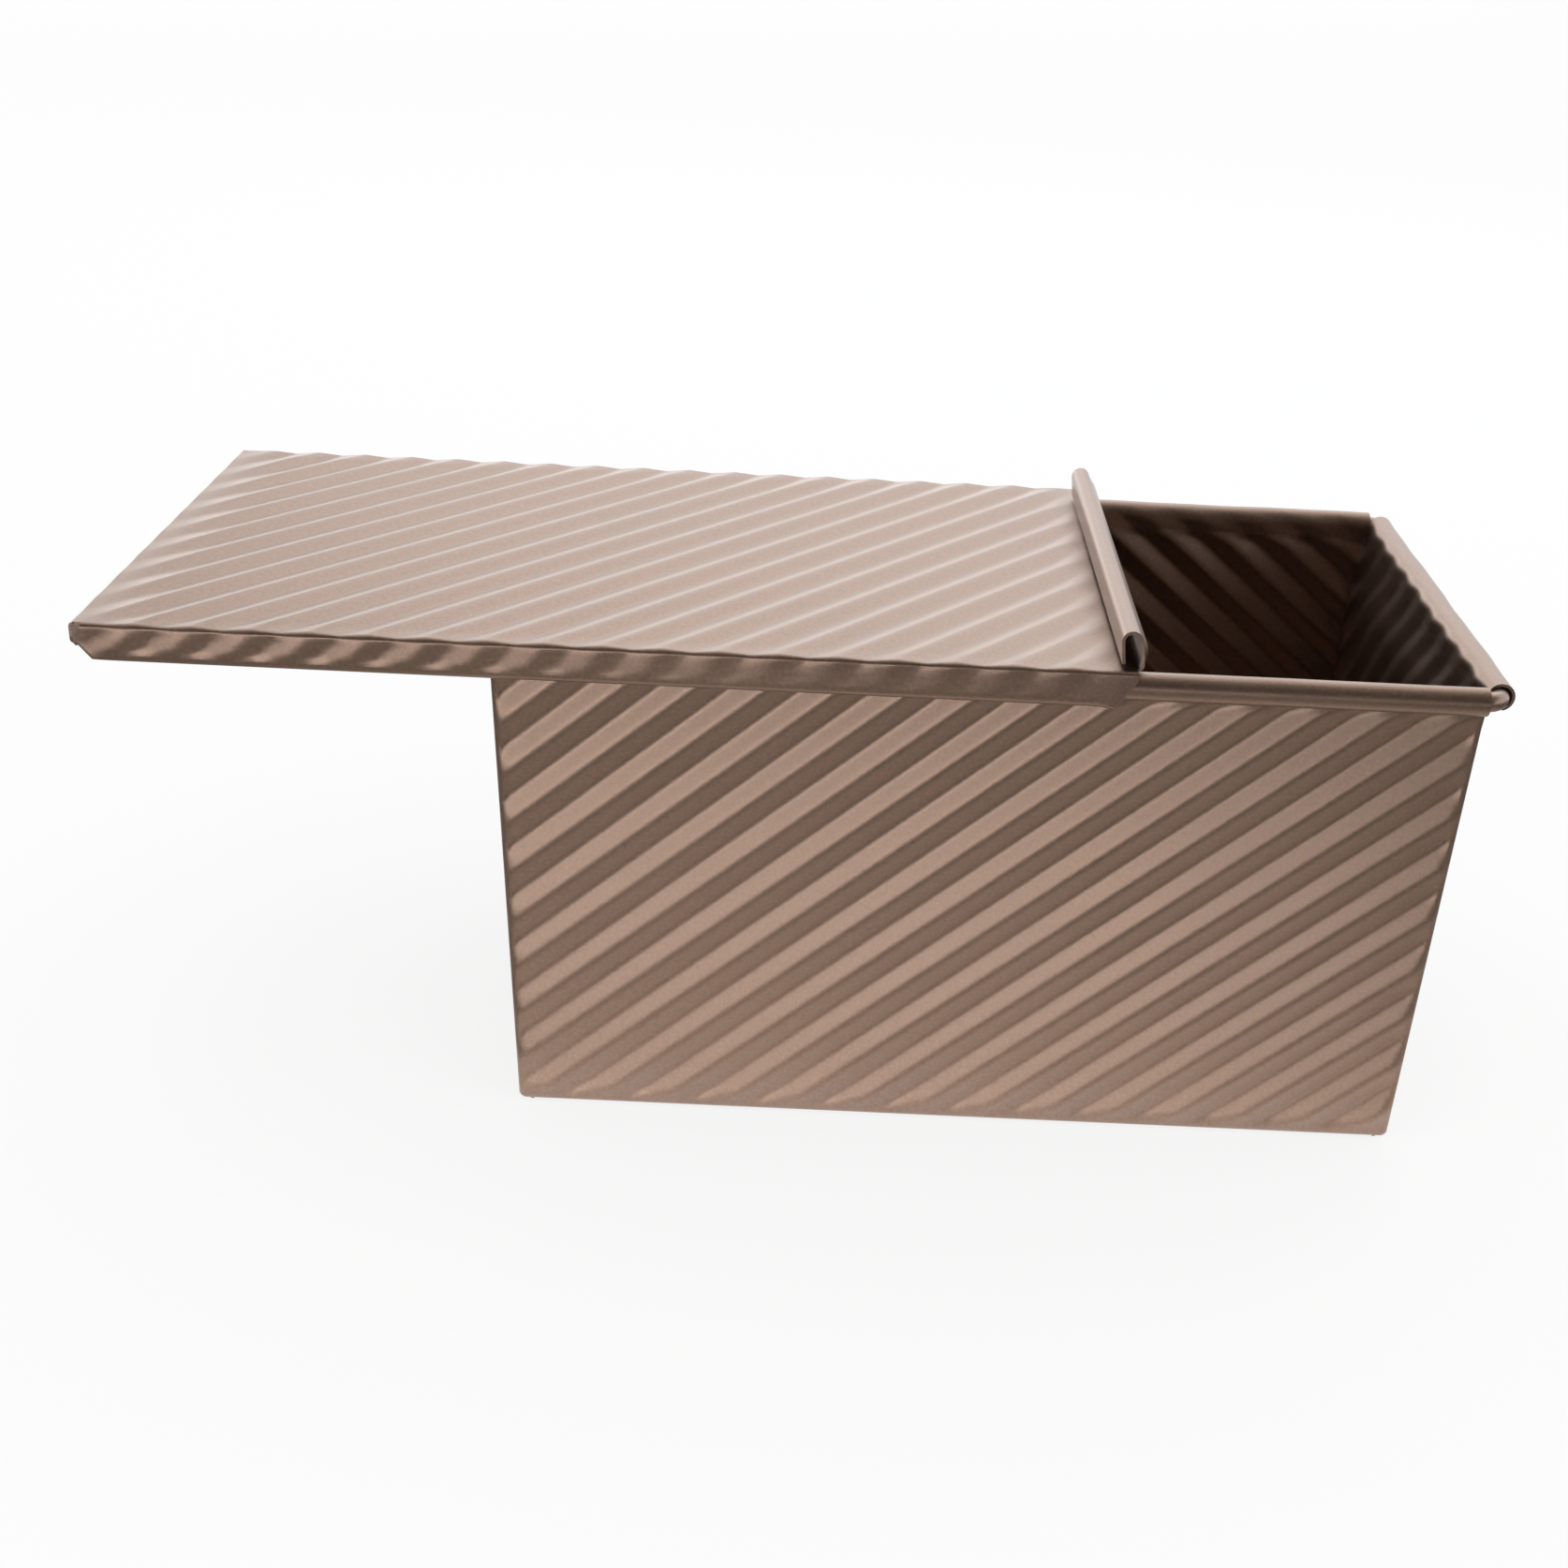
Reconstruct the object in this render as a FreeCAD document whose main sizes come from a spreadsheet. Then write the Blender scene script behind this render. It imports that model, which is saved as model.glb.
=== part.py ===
import FreeCAD, Part
import math
import os
import Sketcher

# Lidded loaf tin: a folded, corrugated sheet pan with a wire-cored rolled rim,
# and a corrugated lid whose hooked rails slide along the two long rolls.
# Millimetres. +X along the pan's length, +Y to the back, +Z up.
# The origin is the middle of the underside that stands on the table.

DIMENSIONS = {
    # pan, measured on the outside of its plain sheet
    "base_length": 189.1,
    "base_width": 105.8,
    "wall_flare": 3.6,
    "wall_top": 104.7,
    # corrugated sheet
    "sheet_thickness": 0.6,
    "rib_pitch": 9.0,
    "rib_depth": 1.1,
    "rib_flat": 0.6,
    "rib_margin": 3.0,
    "pan_rib_slope": 40.0,
    "lid_rib_slope": 51.0,
    # rolled rim and its wire hoop
    "wire_diameter": 4.0,
    "wire_play": 0.3,
    "wire_bend_radius": 2.6,
    "roll_wrap": 312.0,
    # folded corner flaps on the end walls
    "flap_reach": 46.0,
    "flap_fold": 45.0,
    "flap_top_gap": 0.2,
    # lid
    "lid_opening": 74.8,
    "lid_ride_gap": 0.3,
    "lid_side_play": 0.4,
    "lip_gap": 0.3,
    "lip_reach": 2.6,
    "rail_cut_run": 4.0,
    "rail_cut_rise": 5.5,
    "stop_gap": 0.3,
    "stop_depth": 5.0,
    "stop_corner_cut": 2.0,
    "stop_seam": 0.6,
    "grip_width": 5.2,
    "grip_height": 8.2,
    "grip_bend_radius": 1.5,
    "grip_drop": 0.8,
    "grip_inset": 1.0,
    "grip_rib_margin": 7.0,
}

HALF_TURN = 180
QUARTER_TURN = 90
FULL_TURN = 360

doc = FreeCAD.newDocument("loaf_tin")
sheet = doc.addObject("Spreadsheet::Sheet", "dims")
for row, (alias, number) in enumerate(DIMENSIONS.items(), start=1):
    sheet.set(f"A{row}", alias)
    sheet.set(f"B{row}", str(number))
    sheet.setAlias(f"B{row}", alias)
doc.recompute()


def size(text):
    """The number that an expression over the sheet's cells gives."""
    return float(sheet.evalExpression(text))


def bind(item, expressions):
    """Tie properties of a document object to the sheet."""
    for path, text in expressions.items():
        item.setExpression(path, text)
    return item


# Levels and reaches that several pieces share, as expressions over the sheet.
SHEET = "dims.sheet_thickness"
HALF_RIB = "(dims.rib_depth / 2)"
BASE_TOP = f"({HALF_RIB} + {SHEET})"
WALL_TOP = "dims.wall_top"
WALL_RISE = f"({WALL_TOP} - {BASE_TOP})"
ROLL_RADIUS = f"(dims.wire_diameter / 2 + dims.wire_play + {SHEET})"
ROLL_BORE = f"({ROLL_RADIUS} - {SHEET})"
ROLL_LEVEL = f"({WALL_TOP} + {ROLL_RADIUS})"
BASE_HALF_LENGTH = "(dims.base_length / 2)"
BASE_HALF_WIDTH = "(dims.base_width / 2)"
MOUTH_HALF_LENGTH = f"({BASE_HALF_LENGTH} + dims.wall_flare)"
MOUTH_HALF_WIDTH = f"({BASE_HALF_WIDTH} + dims.wall_flare)"
WALL_LEAN = f"(dims.wall_flare / {WALL_RISE})"
WALL_SKIN = f"({SHEET} * sqrt(1 + {WALL_LEAN} ^ 2))"
FLAP_STACK = f"(({HALF_RIB} + 2 * {SHEET}) * {WALL_SKIN} / {SHEET})"
LOW_CORNER = f"({BASE_HALF_LENGTH} + {FLAP_STACK})"
HIGH_CORNER = f"({MOUTH_HALF_LENGTH} + {FLAP_STACK})"
RIM_HALF_LENGTH = f"({HIGH_CORNER} - {SHEET} + 2 * {ROLL_RADIUS})"
RIM_HALF_WIDTH = f"({MOUTH_HALF_WIDTH} - {SHEET} + 2 * {ROLL_RADIUS})"
LOW_INSIDE = f"({BASE_HALF_WIDTH} - {WALL_SKIN})"
HIGH_INSIDE = f"({MOUTH_HALF_WIDTH} - {WALL_SKIN})"
LID_HALF_WIDTH = f"({RIM_HALF_WIDTH} + dims.lid_side_play + {SHEET})"
LID_LEFT = f"(-({RIM_HALF_LENGTH} + dims.stop_gap + {SHEET}))"
LID_RIGHT = f"({RIM_HALF_LENGTH} - {SHEET} / 2 - dims.grip_bend_radius)"
LID_LEVEL = f"({WALL_TOP} + 2 * {ROLL_RADIUS} + dims.lid_ride_gap + {HALF_RIB})"
RAIL_FOOT = f"({WALL_TOP} - dims.lip_gap - {SHEET})"

pieces = []


def finish(item, label, turn=0, shift="0"):
    """Name a finished piece, turn it about the upright axis and slide it along X."""
    item.Label = label
    item.Placement = FreeCAD.Placement(
        FreeCAD.Vector(), FreeCAD.Rotation(FreeCAD.Vector(0, 0, 1), turn)
    )
    bind(item, {"Placement.Base.x": shift})
    pieces.append(item)
    return item


def boolean(kind, name, base, tool):
    item = doc.addObject(f"Part::{kind}", name)
    item.Base = base
    item.Tool = tool
    item.Refine = True
    return item


def fuse_all(name, shapes):
    item = doc.addObject("Part::MultiFuse", name)
    item.Shapes = shapes
    item.Refine = True
    return item


def block(name, corner, spans):
    """A box from its low corner and its three spans, all expressions."""
    item = doc.addObject("Part::Box", name)
    return bind(item, {
        "Placement.Base.x": corner[0],
        "Placement.Base.y": corner[1],
        "Placement.Base.z": corner[2],
        "Length": spans[0],
        "Width": spans[1],
        "Height": spans[2],
    })


def leaning_slab(name, low, high):
    """A slab that stands up with a lean: (level, half run, near reach, far reach) at each end."""
    item = doc.addObject("Part::Wedge", name)
    upright = FreeCAD.Rotation(FreeCAD.Vector(1, 0, 0), QUARTER_TURN)
    item.Placement = FreeCAD.Placement(FreeCAD.Vector(), upright)
    return bind(item, {
        "Ymin": low[0],
        "Xmin": f"-({low[1]})",
        "Xmax": low[1],
        "Zmin": low[2],
        "Zmax": low[3],
        "Ymax": high[0],
        "X2min": f"-({high[1]})",
        "X2max": high[1],
        "Z2min": high[2],
        "Z2max": high[3],
    })


def ring_part(name, radius, bore, length, turn, start, sweep):
    """Part of a tube wall; turn takes its own axes to the pan's, start is its near end's centre."""
    shapes = []
    for suffix, reach, angle in (("outside", radius, sweep), ("bore", bore, str(FULL_TURN))):
        tube = doc.addObject("Part::Cylinder", f"{name}_{suffix}")
        tube.Placement = FreeCAD.Placement(FreeCAD.Vector(), turn)
        shapes.append(bind(tube, {
            "Placement.Base.x": start[0],
            "Placement.Base.y": start[1],
            "Placement.Base.z": start[2],
            "Radius": reach,
            "Height": length,
            "Angle": angle,
        }))
    return boolean("Cut", name, *shapes)


def outline_body(name, plane, corners, thickness):
    """A padded plate whose outline's corners are pairs of expressions."""
    body = doc.addObject("PartDesign::Body", name)
    sketch = body.newObject("Sketcher::SketchObject", f"{name}_outline")
    origin_plane = [part for part in body.Origin.OriginFeatures if part.Role == plane][0]
    sketch.AttachmentSupport = [(origin_plane, "")]
    sketch.MapMode = "FlatFace"
    points = [FreeCAD.Vector(size(across), size(up), 0) for across, up in corners]
    count = len(points)
    for number, point in enumerate(points):
        sketch.addGeometry(Part.LineSegment(point, points[(number + 1) % count]))
    origin_point = (-1, 1)
    for number in range(count):
        sketch.addConstraint(Sketcher.Constraint("Coincident", number, 2, (number + 1) % count, 1))
    for number, (across, up) in enumerate(corners):
        for kind, text in (("DistanceX", across), ("DistanceY", up)):
            place = Sketcher.Constraint(kind, *origin_point, number, 1, size(text))
            index = sketch.addConstraint(place)
            sketch.setExpression(f"Constraints[{index}]", text)
    pad = body.newObject("PartDesign::Pad", f"{name}_pad")
    pad.Profile = sketch
    bind(pad, {"Length": thickness})
    return body


def rib_profile(name, half_span):
    """Cross-section of the corrugated sheet: flats on crests and troughs, joined by S bends."""
    pitch = size("dims.rib_pitch")
    half_flat = size("dims.rib_flat / 2")
    half_depth = size(HALF_RIB)
    half_sheet = size(f"{SHEET} / 2")
    bend_run = pitch / 2 - 2 * half_flat
    bend_angle = 2 * math.atan2(2 * half_depth, bend_run)
    bend_radius = bend_run / (2 * math.sin(bend_angle))

    def bend(center, radius, start_angle, end_angle):
        middle = (start_angle + end_angle) / 2
        spots = [
            center + FreeCAD.Vector(radius * math.cos(angle), 0, radius * math.sin(angle))
            for angle in (start_angle, middle, end_angle)
        ]
        return Part.Arc(*spots).toShape()

    def skin(offset):
        """One face of the sheet, over all the ribs."""
        edges = []
        up = math.pi / 2
        crest_level = half_depth + offset
        trough_level = -half_depth + offset
        for number in range(-count, count):
            crest = number * pitch
            trough = crest + pitch / 2
            crest_center = FreeCAD.Vector(crest + half_flat, 0, half_depth - bend_radius)
            trough_center = FreeCAD.Vector(trough - half_flat, 0, bend_radius - half_depth)
            next_trough_center = FreeCAD.Vector(trough + half_flat, 0, bend_radius - half_depth)
            next_crest_center = FreeCAD.Vector(
                crest + pitch - half_flat, 0, half_depth - bend_radius
            )
            edges += [
                Part.makeLine((crest, 0, crest_level), (crest + half_flat, 0, crest_level)),
                bend(crest_center, bend_radius + offset, up, up - bend_angle),
                bend(trough_center, bend_radius - offset, -up - bend_angle, -up),
                Part.makeLine((trough - half_flat, 0, trough_level),
                              (trough + half_flat, 0, trough_level)),
                bend(next_trough_center, bend_radius - offset, -up, -up + bend_angle),
                bend(next_crest_center, bend_radius + offset, up + bend_angle, up),
                Part.makeLine((crest + pitch - half_flat, 0, crest_level),
                              (crest + pitch, 0, crest_level)),
            ]
        return edges

    count = math.ceil(half_span / pitch) + 1
    outer = skin(half_sheet)
    inner = skin(-half_sheet)
    ends = []
    for place in (-count * pitch, count * pitch):
        low = FreeCAD.Vector(place, 0, half_depth - half_sheet)
        high = FreeCAD.Vector(place, 0, half_depth + half_sheet)
        ends.append(Part.makeLine(low, high))
    wire = Part.Wire(Part.__sortEdges__(outer + inner + ends))
    item = doc.addObject("Part::Feature", name)
    item.Shape = Part.Face(wire)
    return item


def ribs(name, across, outward, start, phase, half_span):
    """Corrugated sheet lying on a plane: its ribs run square to across, with a crest at phase."""
    pitch = size("dims.rib_pitch")
    middle = FreeCAD.Vector(start) + FreeCAD.Vector(across) * phase
    along = FreeCAD.Vector(outward).cross(FreeCAD.Vector(across))
    item = doc.addObject("Part::Extrusion", name)
    item.Base = rib_profile(f"{name}_profile", half_span + pitch)
    item.DirMode = "Custom"
    item.Dir = FreeCAD.Vector(0, 1, 0)
    item.LengthFwd = 2 * half_span
    item.Symmetric = True
    item.Solid = True
    item.Placement = FreeCAD.Placement(
        middle, FreeCAD.Rotation(across, along, outward, "ZXY")
    )
    return item


def ribbed_panel(name, plate, window, sheet_ribs):
    """A plate whose window is filled with corrugated sheet; the plain band stays round it."""
    border = boolean("Cut", f"{name}_border", plate, window)
    field = boolean("Common", f"{name}_field", sheet_ribs, window)
    return boolean("Fuse", name, border, field)


def nearest_crest(middle, offset):
    """The crest next to the middle of a panel, where crests lie at offset plus whole pitches."""
    pitch = size("dims.rib_pitch")
    return offset + round((middle - offset) / pitch) * pitch


def base_panel():
    slope = math.radians(size("dims.pan_rib_slope"))
    edge = f"({SHEET} + dims.rib_margin)"
    plate = block(
        "base_plate",
        (f"-{BASE_HALF_LENGTH}", f"-{BASE_HALF_WIDTH}", HALF_RIB),
        ("dims.base_length", "dims.base_width", SHEET),
    )
    window = block(
        "base_window",
        (f"{edge} - {BASE_HALF_LENGTH}", f"{edge} - {BASE_HALF_WIDTH}", "-dims.rib_pitch"),
        (f"dims.base_length - 2 * {edge}", f"dims.base_width - 2 * {edge}", "2 * dims.rib_pitch"),
    )
    across = FreeCAD.Vector(math.sin(slope), math.cos(slope), 0)
    middle = FreeCAD.Vector(0, 0, size(f"{HALF_RIB} + {SHEET} / 2"))
    half_span = size(f"{BASE_HALF_LENGTH} + {BASE_HALF_WIDTH}")
    sheet_ribs = ribs("base_ribs", across, FreeCAD.Vector(0, 0, -1), middle, 0, half_span)
    finish(ribbed_panel("base", plate, window, sheet_ribs), "base_panel")


def wall(label, turn, runs, reaches, rib_slope, fold_distance):
    """One leaning wall, built as the front one and turned into place."""
    low_run, high_run = runs
    low_reach, high_reach = reaches
    plate = leaning_slab(
        f"{label}_plate",
        (BASE_TOP, low_run, f"{low_reach} - {WALL_SKIN}", low_reach),
        (WALL_TOP, high_run, f"{high_reach} - {WALL_SKIN}", high_reach),
    )
    inset = f"({SHEET} + dims.rib_margin)"
    near = f"{low_reach} - dims.rib_pitch"
    far = f"{high_reach} + dims.rib_pitch"
    window = leaning_slab(
        f"{label}_window",
        (f"{BASE_TOP} + dims.rib_margin", f"{low_run} - {inset}", near, far),
        (f"{WALL_TOP} - dims.rib_margin", f"{high_run} - {inset}", near, far),
    )
    lean = math.atan(size(WALL_LEAN))
    slope = math.radians(rib_slope)
    side = FreeCAD.Vector(1, 0, 0)
    upward = FreeCAD.Vector(0, -math.sin(lean), math.cos(lean))
    outward = side.cross(upward)
    across = upward * math.cos(slope) - side * math.sin(slope)
    foot = FreeCAD.Vector(0, -size(f"{low_reach} - {WALL_SKIN} / 2"), size(BASE_TOP))
    half_rise = size(f"{WALL_RISE} / 2")
    centre = foot + upward * half_rise
    middle = half_rise * math.cos(slope)
    phase = nearest_crest(middle, -fold_distance) - middle
    half_span = size(f"{high_run} + {WALL_RISE} / 2")
    sheet_ribs = ribs(f"{label}_ribs", across, outward, centre, phase, half_span)
    finish(ribbed_panel(label, plate, window, sheet_ribs), label, turn)


def walls():
    slope = size("dims.pan_rib_slope")
    long_phase = size(BASE_HALF_WIDTH) * math.cos(math.radians(slope))
    end_phase = size(BASE_HALF_LENGTH) * math.sin(math.radians(slope))
    for label, turn in (("front_wall", 0), ("back_wall", HALF_TURN)):
        wall(label, turn, (LOW_CORNER, HIGH_CORNER),
             (BASE_HALF_WIDTH, MOUTH_HALF_WIDTH), slope, long_phase)
    for label, turn in (("right_end_wall", QUARTER_TURN), ("left_end_wall", -QUARTER_TURN)):
        wall(label, turn, (LOW_INSIDE, HIGH_INSIDE), (BASE_HALF_LENGTH, MOUTH_HALF_LENGTH),
             slope - QUARTER_TURN, end_phase)


def corner_flap(label, turn, side):
    """Folded double corner of the sheet, laid on an end wall's ribs, flush with the long wall."""
    def placed(text):
        return f"{side} * ({text})"

    top = f"({WALL_TOP} - dims.flap_top_gap)"
    high_edge = f"({HIGH_INSIDE} - {WALL_LEAN} * dims.flap_top_gap)"
    inner_edge = f"(dims.flap_reach - {HIGH_INSIDE})"
    fold_top = f"({BASE_TOP} + ({inner_edge} + {LOW_INSIDE}) * tan(dims.flap_fold * 1 deg))"
    outline = outline_body(
        f"{label}_cut",
        "XZ_Plane",
        [
            (placed(f"-{LOW_INSIDE}"), BASE_TOP),
            (placed(f"-{high_edge}"), top),
            (placed(inner_edge), top),
            (placed(inner_edge), fold_top),
        ],
        f"2 * {MOUTH_HALF_LENGTH}",
    )
    near = f"{HALF_RIB} * {WALL_SKIN} / {SHEET}"
    slab = leaning_slab(
        f"{label}_slab",
        (BASE_TOP, MOUTH_HALF_WIDTH, f"{BASE_HALF_LENGTH} + {near}", LOW_CORNER),
        (WALL_TOP, MOUTH_HALF_WIDTH, f"{MOUTH_HALF_LENGTH} + {near}", HIGH_CORNER),
    )
    finish(boolean("Common", label, slab, outline), label, turn)


def flaps():
    for end, turn in (("right", QUARTER_TURN), ("left", -QUARTER_TURN)):
        for name, side in (("front", 1), ("back", -1)):
            own_side = side if end == "right" else -side
            corner_flap(f"{end}_{name}_flap", turn, own_side)


def rim_roll(label, turn, half_run, reach, step=None):
    """Sheet edge curled outwards round the wire; a step carries it out over the flaps."""
    section = FreeCAD.Rotation(
        FreeCAD.Vector(0, -1, 0), FreeCAD.Vector(0, 0, 1), FreeCAD.Vector(-1, 0, 0), "ZXY"
    )
    opened = FreeCAD.Rotation(FreeCAD.Vector(0, 0, 1), HALF_TURN - size("dims.roll_wrap"))
    curl = ring_part(
        f"{label}_curl",
        ROLL_RADIUS,
        ROLL_BORE,
        f"2 * {half_run}",
        section.multiply(opened),
        (half_run, f"-({reach} - {SHEET} + {ROLL_RADIUS})", ROLL_LEVEL),
        "dims.roll_wrap",
    )
    neck = block(
        f"{label}_neck",
        (f"-{half_run}", f"-{reach}", WALL_TOP),
        (f"2 * {half_run}", SHEET, ROLL_RADIUS),
    )
    shapes = [curl, neck]
    if step:
        shapes.append(block(
            f"{label}_step",
            (f"-{half_run}", f"-{reach}", WALL_TOP),
            (f"2 * {half_run}", step, SHEET),
        ))
    finish(fuse_all(label, shapes), label, turn)


def rim_rolls():
    for name, turn in (("front", 0), ("back", HALF_TURN)):
        rim_roll(f"rim_roll_{name}", turn, HIGH_CORNER, MOUTH_HALF_WIDTH)
    end_run = f"({MOUTH_HALF_WIDTH} - {SHEET})"
    for name, turn in (("right", QUARTER_TURN), ("left", -QUARTER_TURN)):
        rim_roll(f"rim_roll_{name}", turn, end_run, HIGH_CORNER, f"{FLAP_STACK} + {WALL_SKIN}")


def rim_wire():
    """One hoop of round wire that stiffens the rim; it shows at the four corners."""
    half_x = f"({HIGH_CORNER} - {SHEET} + {ROLL_RADIUS})"
    half_y = f"({MOUTH_HALF_WIDTH} - {SHEET} + {ROLL_RADIUS})"
    straight_x = f"({half_x} - dims.wire_bend_radius)"
    straight_y = f"({half_y} - dims.wire_bend_radius)"
    radius = "dims.wire_diameter / 2"
    along_x = FreeCAD.Rotation(FreeCAD.Vector(0, 1, 0), QUARTER_TURN)
    along_y = FreeCAD.Rotation(FreeCAD.Vector(1, 0, 0), -QUARTER_TURN)
    runs = []
    for name, turn, start, length in (
        ("front", along_x, (f"-{straight_x}", f"-{half_y}"), straight_x),
        ("back", along_x, (f"-{straight_x}", half_y), straight_x),
        ("left", along_y, (f"-{half_x}", f"-{straight_y}"), straight_y),
        ("right", along_y, (half_x, f"-{straight_y}"), straight_y),
    ):
        rod = doc.addObject("Part::Cylinder", f"wire_{name}")
        rod.Placement = FreeCAD.Placement(FreeCAD.Vector(), turn)
        runs.append(bind(rod, {
            "Placement.Base.x": start[0],
            "Placement.Base.y": start[1],
            "Placement.Base.z": ROLL_LEVEL,
            "Radius": radius,
            "Height": f"2 * {length}",
        }))
    upright = FreeCAD.Vector(0, 0, 1)
    for number, (side_x, side_y) in enumerate(((1, 1), (-1, 1), (-1, -1), (1, -1))):
        bend = doc.addObject("Part::Torus", f"wire_bend_{number}")
        bend.Placement = FreeCAD.Placement(
            FreeCAD.Vector(), FreeCAD.Rotation(upright, number * QUARTER_TURN)
        )
        runs.append(bind(bend, {
            "Placement.Base.x": f"{side_x} * {straight_x}",
            "Placement.Base.y": f"{side_y} * {straight_y}",
            "Placement.Base.z": ROLL_LEVEL,
            "Radius1": "dims.wire_bend_radius",
            "Radius2": radius,
            "Angle3": str(QUARTER_TURN),
        }))
    finish(fuse_all("wire", runs), "rim_wire")


DRAWN = "-dims.lid_opening"


def lid_panel():
    slope = math.radians(size("dims.lid_rib_slope"))
    edge = f"({SHEET} + dims.rib_margin)"
    plate = block(
        "lid_plate",
        (LID_LEFT, f"-{LID_HALF_WIDTH}", LID_LEVEL),
        (f"{LID_RIGHT} - {LID_LEFT}", f"2 * {LID_HALF_WIDTH}", SHEET),
    )
    window = block(
        "lid_window",
        (f"{LID_LEFT} + {edge}", f"{edge} - {LID_HALF_WIDTH}", f"{LID_LEVEL} - dims.rib_pitch"),
        (f"{LID_RIGHT} - {LID_LEFT} - {edge} - dims.grip_rib_margin",
         f"2 * ({LID_HALF_WIDTH} - {edge})", "2 * dims.rib_pitch"),
    )
    across = FreeCAD.Vector(-math.sin(slope), math.cos(slope), 0)
    middle = FreeCAD.Vector(0, 0, size(f"{LID_LEVEL} + {SHEET} / 2"))
    half_span = size(f"{RIM_HALF_LENGTH} + {LID_HALF_WIDTH}")
    sheet_ribs = ribs("lid_ribs", across, FreeCAD.Vector(0, 0, 1), middle, 0, half_span)
    finish(ribbed_panel("lid", plate, window, sheet_ribs), "lid_panel", shift=DRAWN)


def lid_rail(label, outer_face, lip_start):
    """Down-turned long edge of the lid, with a lip that hooks under the roll."""
    flange = outline_body(
        f"{label}_flange",
        "XZ_Plane",
        [
            (LID_LEFT, LID_LEVEL),
            (LID_RIGHT, LID_LEVEL),
            (LID_RIGHT, f"{RAIL_FOOT} + dims.rail_cut_rise"),
            (f"{LID_RIGHT} - dims.rail_cut_run", RAIL_FOOT),
            (f"{LID_LEFT} + dims.rail_cut_run", RAIL_FOOT),
            (LID_LEFT, f"{RAIL_FOOT} + dims.rail_cut_rise"),
        ],
        SHEET,
    )
    bind(flange, {"Placement.Base.y": outer_face})
    lip = block(
        f"{label}_lip",
        (f"{LID_LEFT} + dims.rail_cut_run", lip_start, RAIL_FOOT),
        (f"{LID_RIGHT} - {LID_LEFT} - 2 * dims.rail_cut_run", "dims.lip_reach", SHEET),
    )
    finish(boolean("Fuse", label, flange, lip), label, shift=DRAWN)


def lid_rails():
    inside = f"({LID_HALF_WIDTH} - {SHEET})"
    lid_rail("lid_front_rail", f"-{inside}", f"-{inside}")
    lid_rail("lid_back_rail", LID_HALF_WIDTH, f"{inside} - dims.lip_reach")


def lid_end_stop():
    """Down-turned left end of the lid; it meets the left roll when the tin is shut."""
    half_run = f"({LID_HALF_WIDTH} - {SHEET} - dims.stop_seam)"
    foot = f"({LID_LEVEL} - dims.stop_depth)"
    cut = "dims.stop_corner_cut"
    body = outline_body(
        "end_stop",
        "YZ_Plane",
        [
            (f"-{half_run}", LID_LEVEL),
            (half_run, LID_LEVEL),
            (half_run, f"{foot} + {cut}"),
            (f"{half_run} - {cut}", foot),
            (f"{cut} - {half_run}", foot),
            (f"-{half_run}", f"{foot} + {cut}"),
        ],
        SHEET,
    )
    finish(body, "lid_end_stop", shift=f"{LID_LEFT} - dims.lid_opening")


def lid_grip():
    """Right end of the lid, bent up and curled back over into a hollow finger grip."""
    half_run = f"({LID_HALF_WIDTH} - dims.grip_inset)"
    length = f"2 * {half_run}"
    middle_level = f"({LID_LEVEL} + {SHEET} / 2)"
    bend = "dims.grip_bend_radius"
    curl = f"((dims.grip_width - {SHEET}) / 2)"
    curl_level = f"({LID_LEVEL} + {SHEET} / 2 + dims.grip_height - {curl})"
    upright = f"({LID_RIGHT} + {bend})"
    curl_center = f"({upright} - {curl})"
    bend_level = f"({middle_level} + {bend})"
    section = FreeCAD.Rotation(
        FreeCAD.Vector(1, 0, 0), FreeCAD.Vector(0, 0, 1), FreeCAD.Vector(0, -1, 0), "ZXY"
    )
    from_below = FreeCAD.Rotation(FreeCAD.Vector(0, 0, 1), -QUARTER_TURN)
    foot = ring_part("grip_foot", f"{bend} + {SHEET} / 2", f"{bend} - {SHEET} / 2", length,
                     section.multiply(from_below), (LID_RIGHT, half_run, bend_level),
                     str(QUARTER_TURN))
    top = ring_part("grip_top", f"{curl} + {SHEET} / 2", f"{curl} - {SHEET} / 2", length,
                    section, (curl_center, half_run, curl_level), str(HALF_TURN))
    back = block("grip_back", (f"{upright} - {SHEET} / 2", f"-{half_run}", bend_level),
                 (SHEET, length, f"{curl_level} - {bend_level}"))
    free_edge = block("grip_free_edge",
                      (f"{curl_center} - {curl} - {SHEET} / 2", f"-{half_run}",
                       f"{curl_level} - dims.grip_drop"),
                      (SHEET, length, "dims.grip_drop"))
    finish(fuse_all("grip", [foot, back, top, free_edge]), "lid_grip", shift=DRAWN)


base_panel()
walls()
flaps()
rim_rolls()
rim_wire()
lid_panel()
lid_rails()
lid_end_stop()
lid_grip()
doc.recompute()

failed = [item.Name for item in doc.Objects if {"Invalid", "Error"} & set(item.State)]
if failed:
    raise RuntimeError(f"these objects failed: {failed}")
for piece in pieces:
    shape = piece.Shape
    if shape.isNull() or not shape.isValid() or len(shape.Solids) != 1:
        raise RuntimeError(f"{piece.Label} is not one sound solid")

os.makedirs("parts", exist_ok=True)
for piece in pieces:
    piece.Shape.exportStep(f"parts/{piece.Label}.step")
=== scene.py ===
import math

import bpy
import numpy as np
from mathutils import Matrix, Vector


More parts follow.
